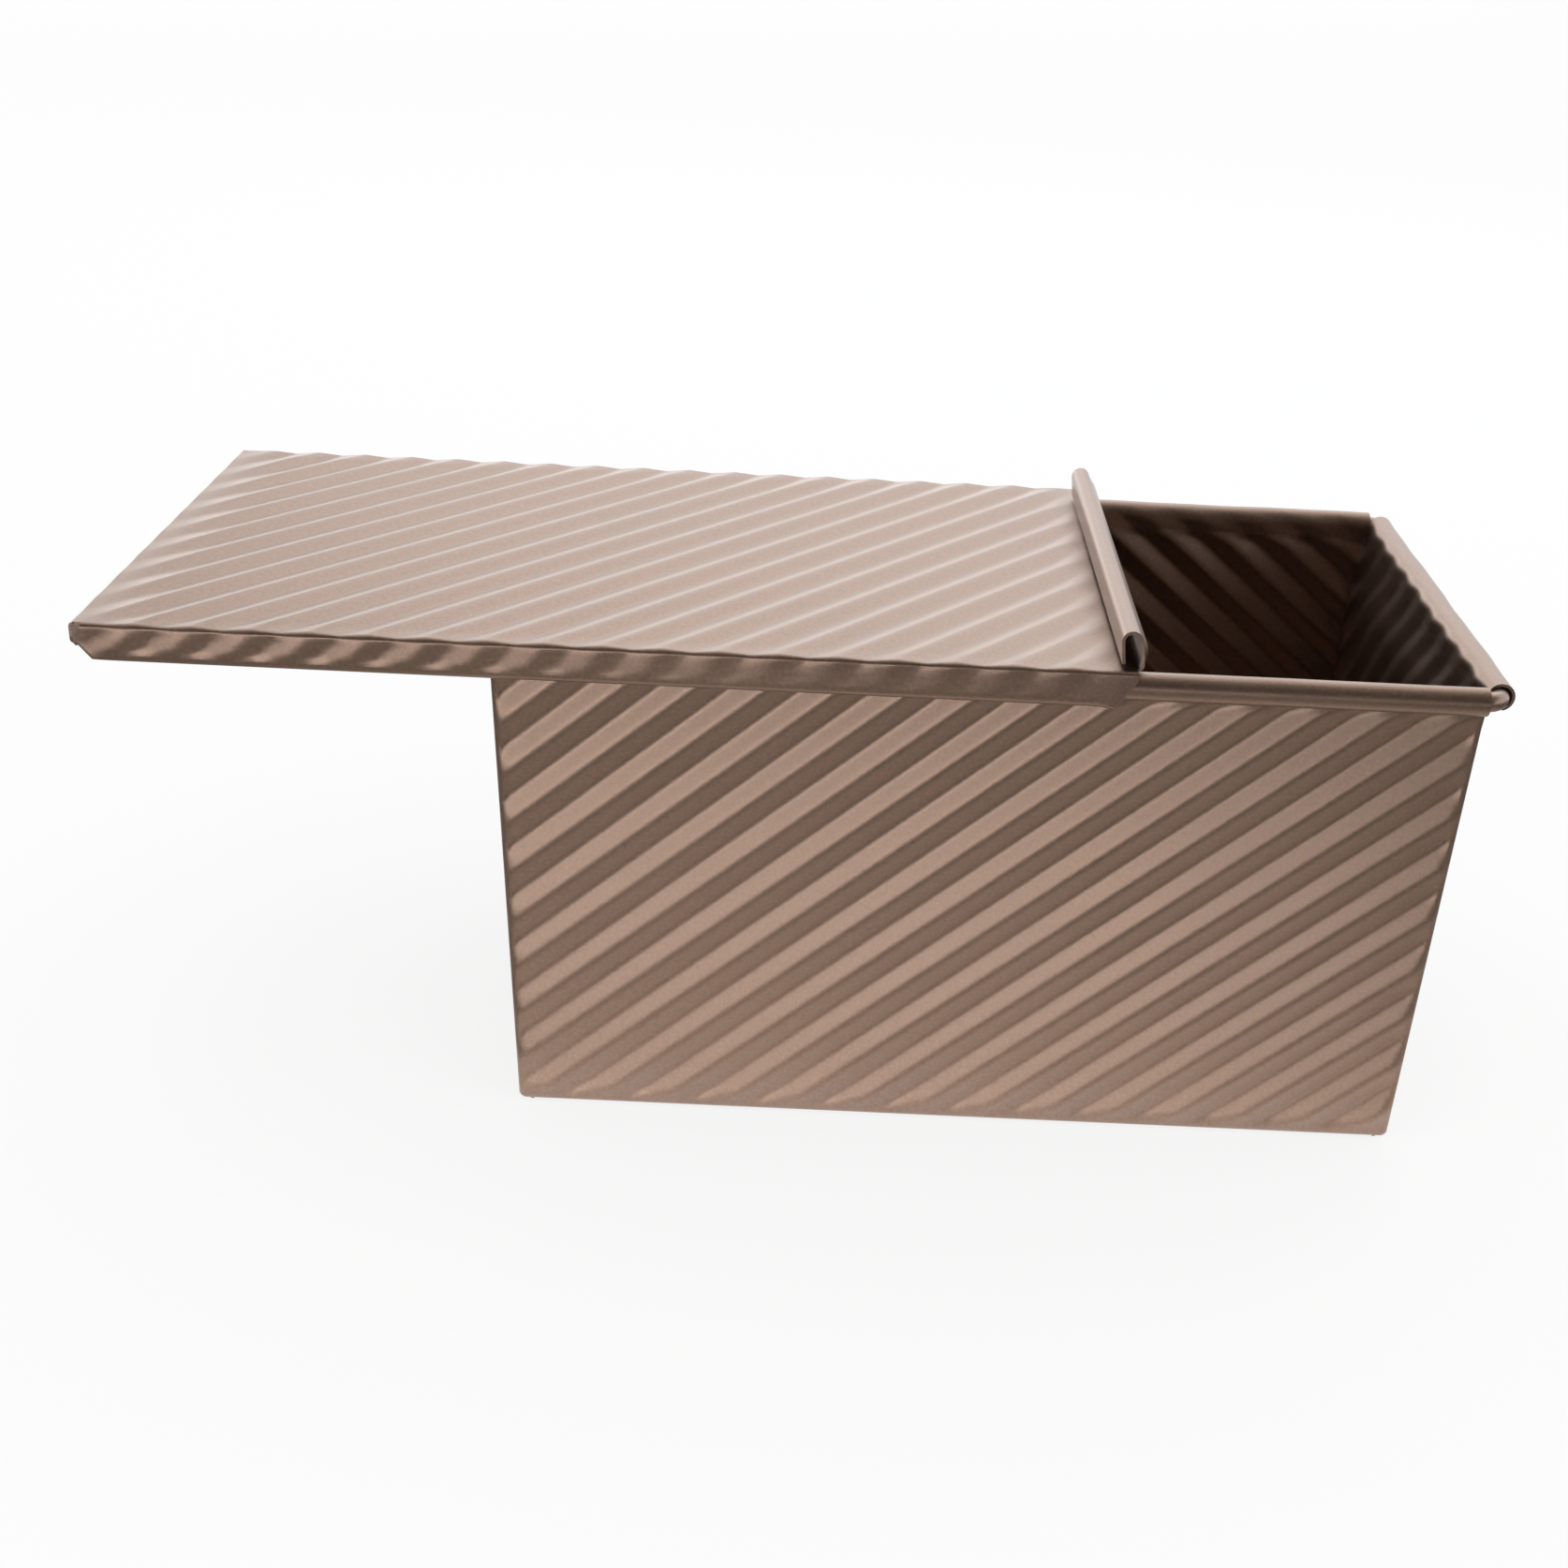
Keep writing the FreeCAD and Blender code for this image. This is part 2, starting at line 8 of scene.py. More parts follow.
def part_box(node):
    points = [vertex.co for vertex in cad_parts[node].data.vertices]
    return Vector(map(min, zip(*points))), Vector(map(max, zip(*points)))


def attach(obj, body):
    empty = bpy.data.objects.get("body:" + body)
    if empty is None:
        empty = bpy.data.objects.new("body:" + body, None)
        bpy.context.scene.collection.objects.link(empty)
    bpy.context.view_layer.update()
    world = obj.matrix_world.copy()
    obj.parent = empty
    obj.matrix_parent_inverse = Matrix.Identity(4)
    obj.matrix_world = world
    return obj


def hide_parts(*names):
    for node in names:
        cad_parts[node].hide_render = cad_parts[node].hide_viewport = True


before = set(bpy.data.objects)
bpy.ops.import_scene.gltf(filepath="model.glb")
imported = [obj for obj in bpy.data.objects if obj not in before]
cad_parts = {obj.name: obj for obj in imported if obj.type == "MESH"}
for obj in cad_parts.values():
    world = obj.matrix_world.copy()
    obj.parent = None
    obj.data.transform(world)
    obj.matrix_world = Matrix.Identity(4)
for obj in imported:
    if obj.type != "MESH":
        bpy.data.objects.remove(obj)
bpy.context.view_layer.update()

MM = 0.001

# The coated sheet, its folds and its diagonal ribs.
SHEET = 0.6 * MM
BEND = 1.3 * MM
OUTER_BEND = BEND + SHEET / 2
FOLD_STEP = math.radians(13)
CELL = 0.8 * MM
RIB_PITCH = 9.0 * MM
RIB_DEPTH = 1.1 * MM
LONG_RIB_DEPTH = 1.5 * MM
END_RIB_DEPTH = 0.8 * MM
RIB_START = 2.2 * MM
RIB_CRISPNESS = 0.985
END_NECK_RELIEF = 0.6
LONG_NECK_RELIEF = 0.3
PAN_RIB_SLOPE = math.radians(40.4)
LID_RIB_SLOPE = math.radians(51.5)
LID_RIB_START = 1.5 * MM

# How the ribs run out towards folds and edges, as a range of distances or a share of the depth.
SOFT_EDGE = (0.3 * MM, 4.0 * MM)
RIM_FADE = 2.2 * MM
CORNER_FADE = (-1.6 * MM, 1.0 * MM)
BASE_FADE = 4.0 * MM
FLAP_RELIEF = 0.7
EDGE_RELIEF = 0.45
STOP_RELIEF = 0.1
GRIP_FADE = (2 * MM, 13 * MM)
LID_STOP_FADE = 14 * MM
RAIL_STOP_FADE = 6 * MM
LID_FOLD_FADE = 6 * MM

# Counts of points along small curves.
CORNER_STEPS = 7
FLAP_COLUMNS = 56
FLAP_ROWS = 116
WIRE_CORNER_STEPS = 10
WIRE_SIDES = 28

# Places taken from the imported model, and the sizes that go with them.
base_low, base_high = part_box("base_panel")
wall_low, wall_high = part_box("front_wall")
flap_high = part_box("right_front_flap")[1]
roll_low, roll_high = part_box("rim_roll_front")
end_roll_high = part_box("rim_roll_right")[1]
lid_low, lid_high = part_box("lid_panel")
rail_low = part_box("lid_front_rail")[0]
stop_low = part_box("lid_end_stop")[0]
grip_low, grip_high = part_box("lid_grip")

HALF_LENGTH = base_high.x
HALF_WIDTH = base_high.y
BASE_LEVEL = (base_low.z + base_high.z) / 2
WALL_FOOT = wall_low.z
WALL_TOP = wall_high.z
WALL_FLARE = 3.6 * MM
HIGH_CORNER = wall_high.x
LOW_CORNER = HIGH_CORNER - WALL_FLARE
LEAN = math.atan(WALL_FLARE / (WALL_TOP - WALL_FOOT))
FLAP_STACK = LOW_CORNER - HALF_LENGTH
FLAP_EDGE = -flap_high.y
END_FLARE_RISE = 16.0 * MM
FLAP_TOP_GAP = 0.3 * MM
FLAP_TOP = flap_high.z - FLAP_TOP_GAP
FLAP_THICKNESS = 0.5 * MM
FLAP_WALL_GAP = 0.25 * MM
FLAP_SET_OUT = 0.05 * MM
END_WALL_GAP = 1.1 * SHEET
END_WALL_BAND = 0.8 * MM
LEAST_CORNER_RADIUS = 0.02 * MM
ROLL_RADIUS = (roll_high.z - roll_low.z) / 2
ROLL_LEVEL = (roll_high.z + roll_low.z) / 2
ROLL_MIDDLE = ROLL_RADIUS - SHEET / 2
LONG_NECK = -roll_low.y - ROLL_RADIUS - ROLL_MIDDLE
END_NECK = end_roll_high.x - ROLL_RADIUS - ROLL_MIDDLE
FRONT_ROLL_CUT = 1.2 * MM
FRONT_ROLL_RUN = HIGH_CORNER - FRONT_ROLL_CUT
BACK_ROLL_RUN = HIGH_CORNER
END_ROLL_RUN = end_roll_high.y
LONG_WRAP = 300
END_WRAP = 256
WIRE_RADIUS = 2.0 * MM
WIRE_BEND = 3.4 * MM
WIRE_SET_IN = 0.35 * MM
LID_LEVEL = (lid_low.z + lid_high.z) / 2
LID_HALF_WIDTH = lid_high.y
LID_MIDDLE = -74.8 * MM
LID_LEFT = lid_low.x
LID_RIGHT = lid_high.x
LID_BEND = 0.6 * MM
LID_OUTER_BEND = LID_BEND + SHEET / 2
FOLD_EASE = 0.35 * MM
FOLD_LINE = LID_HALF_WIDTH - LID_OUTER_BEND + FOLD_EASE
FLANGE_FOOT = rail_low.z


def fade(distance, start, end):
    """Soft step from 0 at start to 1 at end."""
    share = np.clip((distance - start) / (end - start), 0, 1)
    return share * share * (3 - 2 * share)


def straight(length):
    """One step of a bend list: a flat run of sheet."""
    return (length, 0.0)


def bend(radius, degrees):
    """One step of a bend list: a bend round a radius, left turns positive."""
    return (radius * math.radians(abs(degrees)), math.radians(degrees))


def bend_line(start, heading, steps):
    """Middle line of a bent strip from its bend list: the points, and the run up to each."""
    place = complex(*start)
    points = [place]
    runs = [0.0]
    for length, turn in steps:
        count = max(math.ceil(length / CELL), math.ceil(abs(turn) / FOLD_STEP), 1)
        step = turn / count
        chord = length / count * np.sinc(step / 2 / math.pi)
        for _ in range(count):
            place += chord * np.exp(1j * (heading + step / 2))
            heading += step
            points.append(place)
            runs.append(runs[-1] + length / count)
    points = np.array(points)
    return points.real, points.imag, np.array(runs)


def turned(points, degrees):
    """Grid of points turned about the upright axis."""
    angle = math.radians(degrees)
    spin = np.array([
        [math.cos(angle), -math.sin(angle), 0],
        [math.sin(angle), math.cos(angle), 0],
        [0, 0, 1],
    ])
    return points @ spin.T


def spaced(low, high):
    """Even stations about one cell apart."""
    return np.linspace(low, high, math.ceil((high - low) / CELL) + 1)


def outward_of(points):
    """Unit direction square to the grid, on the side the ribs rise."""
    along = np.gradient(points, axis=1)
    up = np.gradient(points, axis=0)
    square = np.cross(along, up)
    least_length = 1e-15
    return square / np.maximum(np.linalg.norm(square, axis=2, keepdims=True), least_length)


def node_tree(name, sockets):
    """Geometry Nodes tree with a mesh in and out and the named inputs."""
    tree = bpy.data.node_groups.new(name, "GeometryNodeTree")
    tree.interface.new_socket("Geometry", in_out="OUTPUT", socket_type="NodeSocketGeometry")
    tree.interface.new_socket("Geometry", in_out="INPUT", socket_type="NodeSocketGeometry")
    for label, kind in sockets:
        tree.interface.new_socket(label, in_out="INPUT", socket_type=kind)
    return tree


def feed(tree, socket, value):
    """Joins an output to a socket, or sets the socket to a plain value."""
    if isinstance(value, bpy.types.NodeSocket):
        tree.links.new(value, socket)
    else:
        socket.default_value = value


def maths(tree, operation, *values):
    """Math node fed with outputs or plain numbers."""
    node = tree.nodes.new("ShaderNodeMath")
    node.operation = operation
    for socket, value in zip(node.inputs, values):
        feed(tree, socket, value)
    return node.outputs[0]


def close_tree(tree, mesh_output, material_output):
    """Realizes what the tree made and gives it the material."""
    real = tree.nodes.new("GeometryNodeRealizeInstances")
    paint = tree.nodes.new("GeometryNodeSetMaterial")
    out = tree.nodes.new("NodeGroupOutput")
    tree.links.new(mesh_output, real.inputs["Geometry"])
    tree.links.new(real.outputs["Geometry"], paint.inputs["Geometry"])
    tree.links.new(material_output, paint.inputs["Material"])
    tree.links.new(paint.outputs["Geometry"], out.inputs[0])


def rib_press_tree():
    """Presses ribs into a sheet: waves across it, scaled by its relief, along its outward side."""
    tree = node_tree("rib_press", [
        ("Rib Pitch", "NodeSocketFloat"),
        ("Rib Depth", "NodeSocketFloat"),
        ("Crispness", "NodeSocketFloat"),
        ("Material", "NodeSocketMaterial"),
    ])
    given = tree.nodes.new("NodeGroupInput")

    def reading(name, kind):
        node = tree.nodes.new("GeometryNodeInputNamedAttribute")
        node.data_type = kind
        node.inputs["Name"].default_value = name
        return node.outputs["Attribute"]

    turns = maths(tree, "DIVIDE", reading("across", "FLOAT"), given.outputs["Rib Pitch"])
    wave = maths(tree, "COSINE", maths(tree, "MULTIPLY", turns, math.tau))
    blunted = maths(tree, "MULTIPLY", wave, given.outputs["Crispness"])
    crisp = maths(tree, "ARCSINE", blunted)
    full = maths(tree, "ARCSINE", given.outputs["Crispness"])
    profile = maths(tree, "DIVIDE", crisp, full)
    half_depth = maths(tree, "DIVIDE", given.outputs["Rib Depth"], 2.0)
    height = maths(tree, "MULTIPLY", profile, half_depth)
    height = maths(tree, "MULTIPLY", height, reading("relief", "FLOAT"))
    rise = tree.nodes.new("ShaderNodeVectorMath")
    rise.operation = "SCALE"
    feed(tree, rise.inputs["Vector"], reading("outward", "FLOAT_VECTOR"))
    feed(tree, rise.inputs["Scale"], height)
    press = tree.nodes.new("GeometryNodeSetPosition")
    feed(tree, press.inputs["Geometry"], given.outputs["Geometry"])
    feed(tree, press.inputs["Offset"], rise.outputs["Vector"])
    close_tree(tree, press.outputs["Geometry"], given.outputs["Material"])
    return tree


def hoop_tree():
    """Bends a round wire into a closed rectangular hoop with rounded corners."""
    tree = node_tree("wire_hoop", [
        ("Length", "NodeSocketFloat"),
        ("Width", "NodeSocketFloat"),
        ("Corner Bend", "NodeSocketFloat"),
        ("Wire Radius", "NodeSocketFloat"),
        ("Level", "NodeSocketFloat"),
        ("Material", "NodeSocketMaterial"),
    ])
    given = tree.nodes.new("NodeGroupInput")
    path = tree.nodes.new("GeometryNodeCurvePrimitiveQuadrilateral")
    feed(tree, path.inputs["Width"], given.outputs["Length"])
    feed(tree, path.inputs["Height"], given.outputs["Width"])
    corner = tree.nodes.new("GeometryNodeFilletCurve")
    corner.mode = "POLY"
    corner.inputs["Count"].default_value = WIRE_CORNER_STEPS
    feed(tree, corner.inputs["Curve"], path.outputs["Curve"])
    feed(tree, corner.inputs["Radius"], given.outputs["Corner Bend"])
    section = tree.nodes.new("GeometryNodeCurvePrimitiveCircle")
    section.inputs["Resolution"].default_value = WIRE_SIDES
    feed(tree, section.inputs["Radius"], given.outputs["Wire Radius"])
    draw = tree.nodes.new("GeometryNodeCurveToMesh")
    feed(tree, draw.inputs["Curve"], corner.outputs["Curve"])
    feed(tree, draw.inputs["Profile Curve"], section.outputs["Curve"])
    lift = tree.nodes.new("GeometryNodeTransform")
    up = tree.nodes.new("ShaderNodeCombineXYZ")
    feed(tree, up.inputs["Z"], given.outputs["Level"])
    feed(tree, lift.inputs["Geometry"], draw.outputs["Mesh"])
    feed(tree, lift.inputs["Translation"], up.outputs["Vector"])
    close_tree(tree, lift.outputs["Geometry"], given.outputs["Material"])
    return tree


def new_object(name, mesh):
    made = bpy.data.objects.new(name, mesh)
    bpy.context.scene.collection.objects.link(made)
    return made


def set_inputs(modifier, values):
    """Sets a tree's named inputs on its modifier."""
    for item in modifier.node_group.interface.items_tree:
        if item.in_out == "INPUT" and item.name in values:
            modifier[item.identifier] = values[item.name]


def settle(made, sharp_degrees=38):
    """Turns an object's live modifiers into a plain mesh."""
    graph = bpy.context.evaluated_depsgraph_get()
    mesh = bpy.data.meshes.new_from_object(made.evaluated_get(graph))
    made.modifiers.clear()
    made.data = mesh
    mesh.name = made.name
    mesh.shade_smooth()
    mesh.set_sharp_from_angle(angle=math.radians(sharp_degrees))
    for label in ("across", "relief", "outward"):
        attribute = mesh.attributes.get(label)
        if attribute:
            mesh.attributes.remove(attribute)


def hand_over(made, body, node):
    """Lets a finished piece ride with its body in place of its CAD node."""
    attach(made, body)
    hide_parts(node)


def sheet_piece(name, node, body, points, across=None, relief=None, flip=False,
                thickness=SHEET, rib_depth=RIB_DEPTH):
    """Ribbed sheet from a grid of middle points."""
    rows, columns = points.shape[:2]
    numbers = np.arange(rows * columns).reshape(rows, columns)
    cells = np.stack([
        numbers[:-1, :-1], numbers[:-1, 1:], numbers[1:, 1:], numbers[1:, :-1],
    ], axis=2)
    outward = outward_of(points)
    if flip:
        cells = cells[:, :, ::-1]
        outward = -outward
    mesh = bpy.data.meshes.new(name)
    mesh.from_pydata(points.reshape(-1, 3).tolist(), [], cells.reshape(-1, 4).tolist())
    blank = np.zeros((rows, columns))
    for label, values in (("across", across), ("relief", relief)):
        values = np.broadcast_to(blank if values is None else values, (rows, columns))
        attribute = mesh.attributes.new(label, "FLOAT", "POINT")
        attribute.data.foreach_set("value", values.ravel().astype(np.float32))
    attribute = mesh.attributes.new("outward", "FLOAT_VECTOR", "POINT")
    attribute.data.foreach_set("vector", outward.ravel().astype(np.float32))
    mesh.materials.append(SHEET_COAT)
    made = new_object(name, mesh)
    press = made.modifiers.new("rib_press", "NODES")
    press.node_group = RIB_PRESS
    set_inputs(press, {
        "Rib Pitch": RIB_PITCH,
        "Rib Depth": rib_depth,
        "Crispness": RIB_CRISPNESS,
        "Material": SHEET_COAT,
    })
    skin = made.modifiers.new("sheet_thickness", "SOLIDIFY")
    skin.thickness = thickness
    skin.offset = 0
    skin.use_even_offset = False
    settle(made)
    hand_over(made, body, node)


def wall_line(joggle=0.0):
    """Upright section of a wall from the base's edge to the rim.

    Gives the offset out from the foot line, the height and the distance up the slope.
    """
    fold_end = BASE_LEVEL + BEND - BEND * math.sin(LEAN)
    middle_at_end = math.tan(LEAN) * (fold_end - WALL_FOOT) - SHEET / 2 / math.cos(LEAN)
    start = (middle_at_end - BEND * math.cos(LEAN), BASE_LEVEL)
    slope_length = (WALL_TOP - fold_end) / math.cos(LEAN)
    fold = bend(BEND, 90 - math.degrees(LEAN))
    steps = [fold, straight(slope_length)]
    if joggle:
        swing = 2 * math.atan(joggle / END_FLARE_RISE)
        radius = END_FLARE_RISE / 2 / math.sin(swing)
        turn = math.degrees(swing)
        upright = straight(slope_length - END_FLARE_RISE)
        steps = [fold, upright, bend(radius, -turn), bend(radius, turn)]
    offset, height, run = bend_line(start, 0.0, steps)
    rise = run - fold[0] + (fold_end - WALL_FOOT) / math.cos(LEAN)
    return offset, height, rise


def leaned_out(height):
    """How far the leaning walls stand outside their foot at a height."""
    return math.tan(LEAN) * np.clip(height - WALL_FOOT, 0, None)


def wall_relief(side_distance, rise, at_rim):
    """Share of the rib depth on a wall: ribs run out softly before its folds."""
    top = (WALL_TOP - WALL_FOOT) / math.cos(LEAN)
    low = fade(rise, *SOFT_EDGE)
    high = at_rim + (1 - at_rim) * fade(top - rise, 0, RIM_FADE)
    return fade(side_distance, *CORNER_FADE) * (low * high)[:, None]


def long_across(along, rise):
    """Distance across the pan's ribs on a long wall and what continues it."""
    return along * math.sin(PAN_RIB_SLOPE) - (HALF_WIDTH + rise) * math.cos(PAN_RIB_SLOPE)


def end_across(side, rise):
    """Distance across the pan's ribs on an end wall and what continues it."""
    return (HALF_LENGTH + rise) * math.sin(PAN_RIB_SLOPE) + side * math.cos(PAN_RIB_SLOPE)


def long_wall(name, node, turn):
    """Front wall with its rounded upright corners, turned into place."""
    offset, height, rise = wall_line()
    lean_out = leaned_out(height)
    radius = np.maximum(OUTER_BEND + offset - lean_out, LEAST_CORNER_RADIUS)[:, None]
    half_flat = (LOW_CORNER - OUTER_BEND + lean_out)[:, None]
    reach = (HALF_WIDTH - OUTER_BEND + lean_out)[:, None]
    flat = np.linspace(-1, 1, math.ceil(2 * HIGH_CORNER / CELL) + 1)
    corner = np.linspace(0, math.pi / 2, CORNER_STEPS + 1)[1:]
    share = np.concatenate([-np.ones(CORNER_STEPS), flat, np.ones(CORNER_STEPS)])[None, :]
    angle = np.concatenate([-corner[::-1], np.zeros(flat.size), corner])[None, :]
    points = np.stack([
        half_flat * share + radius * np.sin(angle),
        -(reach + radius * np.cos(angle)),
        np.broadcast_to(height[:, None], (height.size, share.size)),
    ], axis=2)
    along = half_flat * share + BEND * angle
    across = long_across(along, rise[:, None]) + RIB_START
    into_corner = half_flat * (1 - np.abs(share)) - BEND * np.abs(angle)
    relief = wall_relief(into_corner, rise, LONG_NECK_RELIEF)
    sheet_piece(name, node, "pan", turned(points, turn), across, relief, rib_depth=LONG_RIB_DEPTH)


def end_wall(name, node, turn):
    """End wall between the long walls, set out at its top to the rim over the folded flaps."""
    offset, height, rise = wall_line(joggle=FLAP_STACK)
    half_run = (HALF_WIDTH - END_WALL_GAP + leaned_out(height))[:, None]
    share = np.linspace(-1, 1, math.ceil(2 * HALF_WIDTH / CELL) + 1)[None, :]
    side = half_run * share
    points = np.stack([
        side,
        np.broadcast_to(-(HALF_LENGTH + offset)[:, None], side.shape),
        np.broadcast_to(height[:, None], side.shape),
    ], axis=2)
    across = end_across(side, rise[:, None])
    relief = wall_relief(half_run - np.abs(side) - END_WALL_BAND, rise, END_NECK_RELIEF)
    sheet_piece(name, node, "pan", turned(points, turn), across, relief, rib_depth=END_RIB_DEPTH)


def base_sheet():
    """Ribbed bottom between the folds at the feet of the walls."""
    inset = -wall_line()[0][0]
    half_x = HALF_LENGTH - inset
    half_y = HALF_WIDTH - inset
    x, y = np.meshgrid(spaced(-half_x, half_x), spaced(-half_y, half_y)[::-1])
    points = np.stack([x, y, np.full_like(x, BASE_LEVEL)], axis=2)
    across = x * math.sin(PAN_RIB_SLOPE) + y * math.cos(PAN_RIB_SLOPE)
    edge = np.minimum(half_x - np.abs(x), half_y - np.abs(y))
    sheet_piece("pan_base", "base_panel", "pan", points, across, fade(edge, 0, BASE_FADE))


def corner_flap(name, node, turn, side):
    """Double corner of the sheet folded round onto an end wall, with its slanted lower edge."""
    across_share = np.linspace(0, 1, FLAP_COLUMNS)[None, :]
    up_share = np.linspace(0, 1, FLAP_ROWS)[:, None]
    start = HALF_WIDTH - OUTER_BEND
    plain_y = start + (FLAP_EDGE - start) * across_share
    foot = WALL_FOOT + start - plain_y
    height = foot + (FLAP_TOP - foot) * up_share
    lean_out = leaned_out(height)
    plain_x = LOW_CORNER + lean_out - FLAP_THICKNESS / 2
    wall_offset, wall_height, _ = wall_line(joggle=FLAP_STACK)
    wall_face = HALF_LENGTH + np.interp(height, wall_height, wall_offset) + SHEET / 2
    corner = start + lean_out
    y = corner + (FLAP_EDGE - corner) * across_share
    lift = np.maximum(wall_face + FLAP_THICKNESS / 2 + FLAP_WALL_GAP - plain_x, 0)
    x = plain_x + FLAP_SET_OUT + lift * fade(corner - y, *SOFT_EDGE)
    points = np.stack([side * x, -y, height], axis=2)
    along = side * (LOW_CORNER + BEND * math.pi / 2 + corner - y)
    rise = (height - WALL_FOOT) / math.cos(LEAN)
    across = long_across(along, rise)
    edge = np.minimum.reduce([
        corner - y,
        y - FLAP_EDGE,
        (height - foot) * math.sqrt(0.5),
        FLAP_TOP - height,
    ])
    relief = FLAP_RELIEF * fade(edge, *SOFT_EDGE)
    sheet_piece(name, node, "pan", turned(points, turn), across, relief,
                flip=side < 0, thickness=FLAP_THICKNESS)


def uneven(stations):
    """Slight hand-made waviness of the rolled rim."""
    slow_wave, slow_depth = 47 * MM, 0.07 * MM
    quick_wave, quick_depth = 19 * MM, 0.04 * MM
    slow = np.sin(stations / slow_wave * math.tau)
    quick = np.sin(stations / quick_wave * math.tau + 1)
    return slow_depth * slow + quick_depth * quick


def rolled_rim(name, node, turn, neck, half_run, wrap):
    """Sheet edge curled outwards round the wire, built along the front and turned into place.

    The ribs of the wall below still show on the neck of its roll.
    """
    sway_fade = 2 * MM
    sway_rise_share = 0.6
    out, height, run = bend_line(
        (neck, WALL_TOP), math.pi / 2, [straight(ROLL_RADIUS), bend(ROLL_MIDDLE, -wrap)]
    )
    x = spaced(-half_run, half_run)
    if neck == LONG_NECK:
        rise = wall_line()[2][-1] + run[:, None]
        across = long_across(x[None, :], rise) + RIB_START
        neck_relief = LONG_NECK_RELIEF
        rib_depth = LONG_RIB_DEPTH
    else:
        rise = wall_line(joggle=FLAP_STACK)[2][-1] + run[:, None]
        across = end_across(x[None, :], rise)
        neck_relief = END_NECK_RELIEF
        rib_depth = END_RIB_DEPTH
    relief = neck_relief * fade(ROLL_RADIUS + ROLL_MIDDLE - run, 0, ROLL_RADIUS)[:, None]
    shift = uneven(x)[None, :] * fade(height - WALL_TOP, 0, sway_fade)[:, None]
    points = np.stack([
        np.broadcast_to(x[None, :], shift.shape),
        -(out[:, None] + shift),
        height[:, None] + sway_rise_share * shift,
    ], axis=2)
    sheet_piece(name, node, "pan", turned(points, turn), across, relief, rib_depth=rib_depth)


def wire_hoop():
    """One round wire running through all four rolls and bare at the corners."""
    made = new_object("rim_hoop_wire", bpy.data.meshes.new("rim_hoop_wire"))
    made.data.materials.append(WIRE_COAT)
    draw = made.modifiers.new("wire_hoop", "NODES")
    draw.node_group = HOOP
    set_inputs(draw, {
        "Length": 2 * (END_NECK + ROLL_MIDDLE - WIRE_SET_IN),
        "Width": 2 * (LONG_NECK + ROLL_MIDDLE),
        "Corner Bend": WIRE_BEND,
        "Wire Radius": WIRE_RADIUS,
        "Level": ROLL_LEVEL,
        "Material": WIRE_COAT,
    })
    settle(made)
    hand_over(made, "pan", "rim_wire")


def lid_across(x, y):
    """Distance across the lid's ribs at a place on its unfolded sheet."""
    from_start = LID_RIB_START + math.cos(LID_RIB_SLOPE) * y
    return from_start - math.sin(LID_RIB_SLOPE) * (x - LID_MIDDLE)


def lid_length_relief(x, stop_fade=LID_STOP_FADE):
    """Ribs run out before the grip and nearly run out at the end stop."""
    near_grip = fade(LID_RIGHT - x, *GRIP_FADE)
    from_stop = x - LID_LEFT - LID_OUTER_BEND
    near_stop = STOP_RELIEF + (1 - STOP_RELIEF) * fade(from_stop, 0, stop_fade)
    return near_grip * near_stop


def lid_width_relief(y):
    """Ribs are lower at the folds along the lid's long edges."""
    from_fold = FOLD_LINE - np.abs(y)
    return EDGE_RELIEF + (1 - EDGE_RELIEF) * fade(from_fold, 0, LID_FOLD_FADE)


def lid_sheet():
    """Flat ribbed top of the lid, up to its folds."""
    lengthwise = spaced(LID_LEFT + LID_OUTER_BEND, LID_RIGHT)
    x, y = np.meshgrid(lengthwise, spaced(-FOLD_LINE, FOLD_LINE))
    points = np.stack([x, y, np.full_like(x, LID_LEVEL)], axis=2)
    sheet_piece("lid_top", "lid_panel", "lid", points, lid_across(x, y),
                lid_length_relief(x) * lid_width_relief(y))


